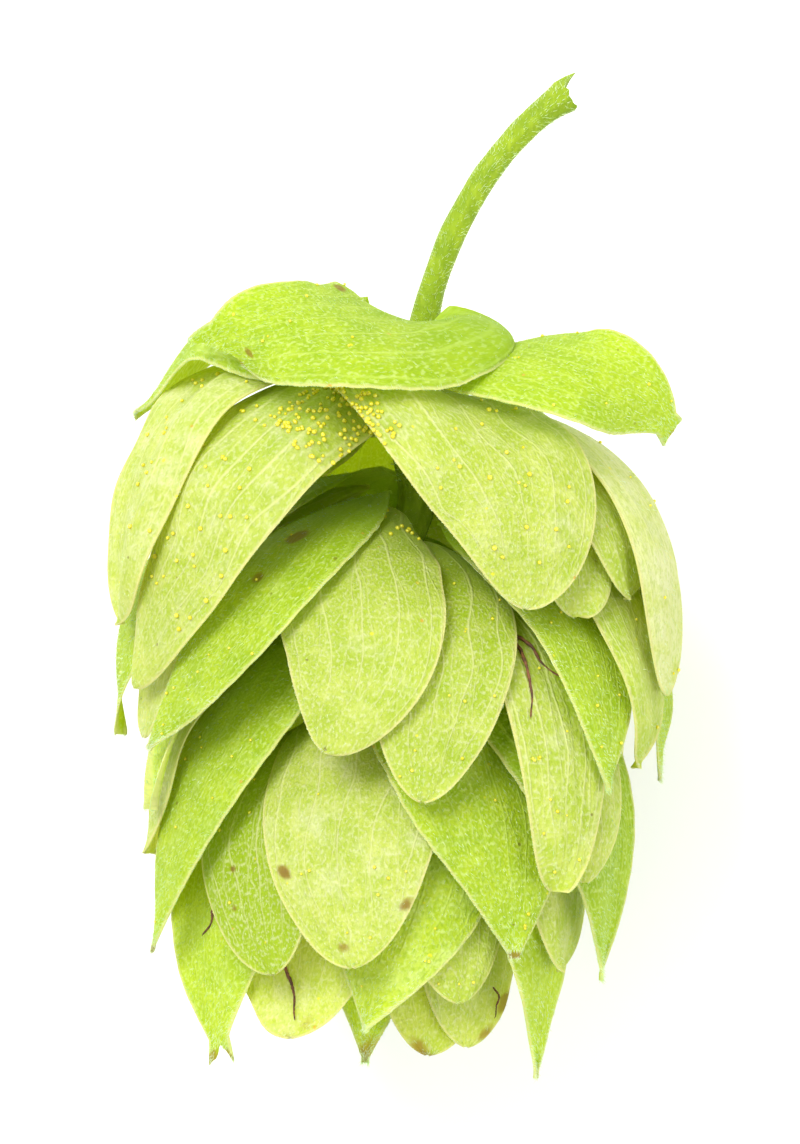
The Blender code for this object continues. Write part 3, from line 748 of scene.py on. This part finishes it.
upper_whorls = {
    "centre_bracteole_right": leaf("bracteole", (7.5, 17.5), (13, 9, 6), 10.6, 2.9, tone=-0.05),
    "folded_bracteole_left": leaf("bracteole", (7.1, 15.8), (-75, -67, -67), 10.8, 2.6, tone=0.5),
    "broad_bract_right": leaf("bract", (6.7, 16.7), (52, 46, 44), 11.0, 2.8, tone=0.0),
    "centre_bracteole_left": leaf("bracteole", (6.2, 15.8), (-33, -11, -15), 10.7, 3.4, tone=0.1),
    "broad_bract_left": leaf("bract", (5.8, 16.2), (-42, -37, -59), 11.3, 2.8, tone=0.15,
                             stains=[(0.35, 0.0, 0.45, 1.1), (0.5, -0.1, 0.35, 1.0)]),
    "point_bract_left": leaf("bract", (4.9, 15.8), (-82, -80, -80), 11.0, 3.0, tone=0.1, turned=20),
    "point_bract_right": leaf("bract", (4.8, 16.3), (76, 74, 74), 10.9, 3.2, tone=0.1),
    "strip_bracteole_right": leaf("bracteole", (4.4, 15.8), (62, 60, 58), 10.3, 2.5, tone=0.0),
}
grow("upper_whorls", {**upper_whorls, **under_row(2), **under_row(3)})


# ---------------------------------------------------------------------------------------------
# The shoulder whorls.  One broad bracteole covers the right shoulder; to its left the leaves part
# and show the hollow beside the strig, where the yellow lupulin glands are thickest.

shoulder_whorls = {
    "wing_bracteole_right": leaf("bracteole", (4.0, 12.0), (80, 80, 80), 10.0, 3.0),
    "small_bracteole_right": leaf("bracteole", (3.7, 10.0), (28, 38, 41), 10.0, 2.7, tone=0.0,
                                  raised=0.8),
    "inner_bracteole_right": leaf("bracteole", (3.4, 9.2), (42, 52, 54), 9.7, 2.8, tone=-0.2,
                                  raised=0.8),
    "inner_bracteole_left": leaf("bracteole", (3.3, 10.6), (-60, -56, -62), 10.2, 3.5, tone=-0.2,
                                 raised=3),
    # The high tone on this leaf is partly painted sheen, the whitish look of a surface seen at a grazing
    # angle, and partly its own pale, hairy skin.
    "edge_bracteole_right": leaf("bracteole", (2.9, 12.9), (63, 64, 63), 10.5, 2.1, tone=0.9,
                                 shoulder=2.1, raised=1.1),
    "long_bracteole_left": leaf("bracteole", (2.6, 13.8), (-32, -40, -64), 11.6, 2.4, tone=0.3,
                                raised=0.4, wide=(1.18, 1.0)),
    "shoulder_bracteole_right": leaf("bracteole", (2.3, 9.8), (-10, 19, 26), 10.5, 3.7, tone=0.1,
                                     raised=1.5),
    "edge_bracteole_left": leaf("bracteole", (1.2, 11.4), (-81, -68, -71), 11.7, 2.6, tone=0.55,
                                shoulder=2.1, raised=2.5, turned=22, wide=(1.0, 1.16)),
    "wing_bract_left": leaf("bract", (1.05, 3.2), (-90, -93, -93), 11.2, 2.4, tone=0.1, shoulder=1.6,
                            turned=38, raised=-0.4),
}
grow("shoulder_whorls", {**shoulder_whorls, **under_row(1)})


# ---------------------------------------------------------------------------------------------
# The cap: two bracts at the foot of the stalk that stand out sideways over the shoulder like a
# collar.  The left one is torn across its end, and all have short hairs along their margins.

cap = {
    "cap_bract_right": leaf("bract", (0.1, 2.6), (26, 40, 69), 10.9, 3.0, tone=-0.15, turned=-30,
                            raised=0.9, stains=[(1.0, 0, 0.3, 0.8)], tip_half=0.6,
                            cut=(1.0, 0.985, 0.97)),
    "cap_bract_left": leaf("bract", (-0.3, 0.8), (5, -30, -55), 10.4, 3.2, tone=-0.15, turned=36,
                           raised=1, cut=(1.0, 0.93, 0.86), jag=0.012, tip_half=1,
                           stains=[(0.9, 0.5, 0.25, 1.0), (1.0, 1.0, 0.35, 1.0), (0.4, -0.8, 0.4, 0.8)],
                           wide=(1.0, 1.18)),
}
grow("cap", cap)


# ---------------------------------------------------------------------------------------------
# Lupulin: golden resin glands about a fifth of a millimetre across.  They sit on the leaf bases,
# crowded in the hollow beside the strig, and a few have been brushed over the rest of the cone.

lupulin_gold, wire, shader = new_finish("lupulin_gold", 0.35, (1.0, 0.82, 0.05), Roughness=0.22,
                                        Specular_IOR_Level=0.6, Coat_Weight=0.4, Coat_Roughness=0.15)
place = wire.add("ShaderNodeTexCoord", out=3)
colour = place.noise(2600.0, 2.0).step(0.3, 0.7).blend((0.74, 0.72, 0.02), (0.95, 0.92, 0.10))
coat(shader, wire.tree, colour, None, place.noise(14000.0, 1.0), 0.02)


def glands(name, count, s_range, c_range, size=(0.07, 0.11)):
    """Glands on one leaf: small balls of five rings, a little flattened, half sunk in its back.
    They lie at seeded places between two shares of its length and of its width."""
    points, normals = blades[name][:2]
    rng = np.random.default_rng(zlib.crc32(name.encode()) + count)
    s = s_range[0] + (s_range[1] - s_range[0]) * rng.random(count)
    c = rng.uniform(*c_range, count)
    at = 1 - (1 - s) ** (1 / ROW_CROWDING)
    centre = pick_from(points, at, c)
    up = pick_from(normals, at, c)
    up /= np.linalg.norm(up, axis=1, keepdims=True)
    radius = rng.uniform(*size, count)
    side = np.cross(up, np.array([0.31, 0.9, 0.3]))
    side /= np.linalg.norm(side, axis=1, keepdims=True)
    rise = np.cross(up, side)
    lat = np.radians([-75.0, -30.0, 10.0, 45.0, 80.0])
    lon = np.linspace(0, 2 * np.pi, 7, endpoint=False)
    flat_part = np.cos(lat)[:, None, None] * (
        np.stack((np.cos(lon), np.sin(lon)), -1)[None, :, :])
    ball = (side[:, None, None] * flat_part[None, ..., :1] + rise[:, None, None] * flat_part[None, ..., 1:]
            + up[:, None, None] * np.sin(lat)[None, :, None, None] * 0.85)
    centre = centre + up * (BLADE_THICKNESS / 2 + radius * 0.55)[:, None]
    grid = centre[:, None, None] + ball * radius[:, None, None, None]
    here = np.arange(count * 35).reshape(count, 5, 7)
    beside = np.roll(here, -1, axis=2)
    walls = np.stack((here[:, :-1], beside[:, :-1], beside[:, 1:], here[:, 1:]), -1).reshape(-1, 4)
    ends = np.concatenate((here[:, 0, ::-1], here[:, -1]))
    add_piece(f"{name}_glands", grid.reshape(-1, 3), [walls, ends], lupulin_gold)


glands("long_bracteole_left", 170, (0.15, 0.4), (-0.1, 1.0))
glands("long_bracteole_left", 40, (0.3, 0.8), (-0.8, 0.8))
glands("shoulder_bracteole_right", 80, (0.2, 0.45), (-1.0, -0.75))
glands("shoulder_bracteole_right", 30, (0.3, 0.9), (-0.8, 0.9))
glands("inner_bracteole_left", 90, (0.05, 0.25), (-0.2, 1.0))
glands("centre_bracteole_left", 26, (0.05, 0.3), (-0.9, 0.9))
glands("edge_bracteole_left", 24, (0.1, 0.8), (-0.6, 1.0))
for name, count in (("centre_bracteole_right", 16), ("great_bracteole", 12), ("middle_bract_right", 10),
                    ("broad_bract_left", 14), ("broad_bract_right", 12), ("cap_bract_right", 8),
                    ("cap_bract_left", 9), ("last_bract", 14), ("middle_bracteole_right", 12),
                    ("lower_bracteole_left", 8), ("middle_bract_left", 8), ("edge_bracteole_right", 10),
                    ("strip_bracteole_right", 8), ("tucked_bracteole_right", 8)):
    glands(name, count, (0.3, 0.95), (-0.9, 0.9), (0.05, 0.08))


# ---------------------------------------------------------------------------------------------
# Withered stigmas: the flowers' two feathery threads, long dry, brown and brittle.  A few still
# stick out from under the leaves that cover their fruits.

stigma_brown, wire, shader = new_finish("stigma_brown", Roughness=0.7)
place = wire.add("ShaderNodeTexCoord", out=3)
shade = place.noise(3000.0, 3.0, 0.6)
coat(shader, wire.tree, shade.step(0.3, 0.7).blend((0.05, 0.022, 0.010), (0.20, 0.075, 0.025)), None,
     place.noise(12000.0, 2.0), 0.03)


STIGMA_CLEAR = 0.12
STIGMA_STEPS = 40
STIGMA_SIDES = 8


def stigma(name, leaf_name, start, end, bow, width=0.075):
    """A thread lying on a leaf, from start to end as shares of the leaf's length and half width.  It
    bows sideways like a sine arch with a smaller kink on it, keeps clear of the surface, and has a
    knobbly thickness that thins to its end."""
    points, normals = blades[leaf_name][:2]
    u = np.linspace(0, 1, STIGMA_STEPS)
    s = start[0] + (end[0] - start[0]) * u
    c = start[1] + (end[1] - start[1]) * u
    c = c + bow * (np.sin(np.pi * u) + 0.3 * np.sin(3 * np.pi * u))
    at = 1 - (1 - np.clip(s, 0, 1)) ** (1 / ROW_CROWDING)
    up = pick_from(normals, at, c)
    up /= np.linalg.norm(up, axis=1, keepdims=True)
    line = pick_from(points, at, c) + up * (STIGMA_CLEAR + 0.08 * np.sin(u * 9 + len(name)))[:, None]
    ring, _, angle = rings_along(line, STIGMA_SIDES, np.array([0.2, 0.1, 1.0]))
    knobs = 1 + 0.25 * wander(len(name), u[:, None] * 6, angle / 2, 7, 1.5)
    size = width * (1 - 0.6 * u**2)[:, None] * knobs
    size[0] = size[-1] = width * 0.12
    grid = line[:, None] + ring * size[..., None]
    here = np.arange(STIGMA_STEPS * STIGMA_SIDES).reshape(STIGMA_STEPS, STIGMA_SIDES)
    beside = np.roll(here, -1, axis=1)
    walls = np.stack((here[:-1], here[1:], beside[1:], beside[:-1]), axis=-1).reshape(-1, 4)
    ends = np.stack((here[0], here[-1, ::-1]))
    add_piece(name, grid.reshape(-1, 3), [walls, ends], stigma_brown)


# Two come out together beside the middle of the cone, and the others stand alone lower down.
stigma("stigma_one", "middle_bracteole_right", (0.35, -0.4), (0.6, -0.6), 0.1)
stigma("stigma_two", "middle_bracteole_right", (0.35, -0.3), (0.5, 0.2), -0.1)
stigma("stigma_three", "curled_bracteole_left", (0.7, -0.2), (0.95, 0.1), -0.05)
stigma("stigma_four", "forked_bract_left", (0.6, 0.0), (0.7, -0.2), 0.08)
stigma("stigma_five", "brown_bracteole_right", (0.8, 0.5), (0.9, 0.7), 0.1, 0.04)


# ---------------------------------------------------------------------------------------------
# The studio: a pale table, a bright room all round, and two large soft lights over the cone.  The
# camera looks straight down at it from a long way off.

table_pale, wire, shader = new_finish("table_pale", Roughness=0.8, Base_Color=(0.97, 0.97, 0.97, 1.0))
table_mesh = bpy.data.meshes.new("table")
table_mesh.from_pydata([(-0.6, -0.6, 0), (0.6, -0.6, 0), (0.6, 0.6, 0), (-0.6, 0.6, 0)], [], [(0, 1, 2, 3)])
table_mesh.materials.append(table_pale)
table = bpy.data.objects.new("table", table_mesh)
table.location = (0, 0, -0.0002)
bpy.context.scene.collection.objects.link(table)

room = bpy.data.worlds.new("room")
room.use_nodes = True
room.node_tree.nodes["Background"].inputs["Color"].default_value = (1.0, 1.0, 1.0, 1.0)
room.node_tree.nodes["Background"].inputs["Strength"].default_value = 0.97
bpy.context.scene.world = room
for name, place, size, power in (("key_light", (-0.16, 0.20, 0.34), 0.22, 1.7),
                                 ("fill_light", (0.30, -0.10, 0.26), 0.30, 0.7)):
    lamp = bpy.data.lights.new(name, "AREA")
    lamp.shape, lamp.size, lamp.energy = "DISK", size, power
    held = bpy.data.objects.new(name, lamp)
    held.location = place
    away = math.hypot(place[0], place[1])
    held.rotation_euler = (0, math.atan2(away, place[2]), math.atan2(place[1], place[0]))
    bpy.context.scene.collection.objects.link(held)

view = bpy.data.cameras.new("view")
view.sensor_width = 36.0
view.lens = 236.0
camera = bpy.data.objects.new("view", view)
camera.location = (0.00016, 0.00012, 0.3106)
bpy.context.scene.collection.objects.link(camera)
bpy.context.scene.camera = camera
bpy.context.scene.view_settings.view_transform = "Standard"
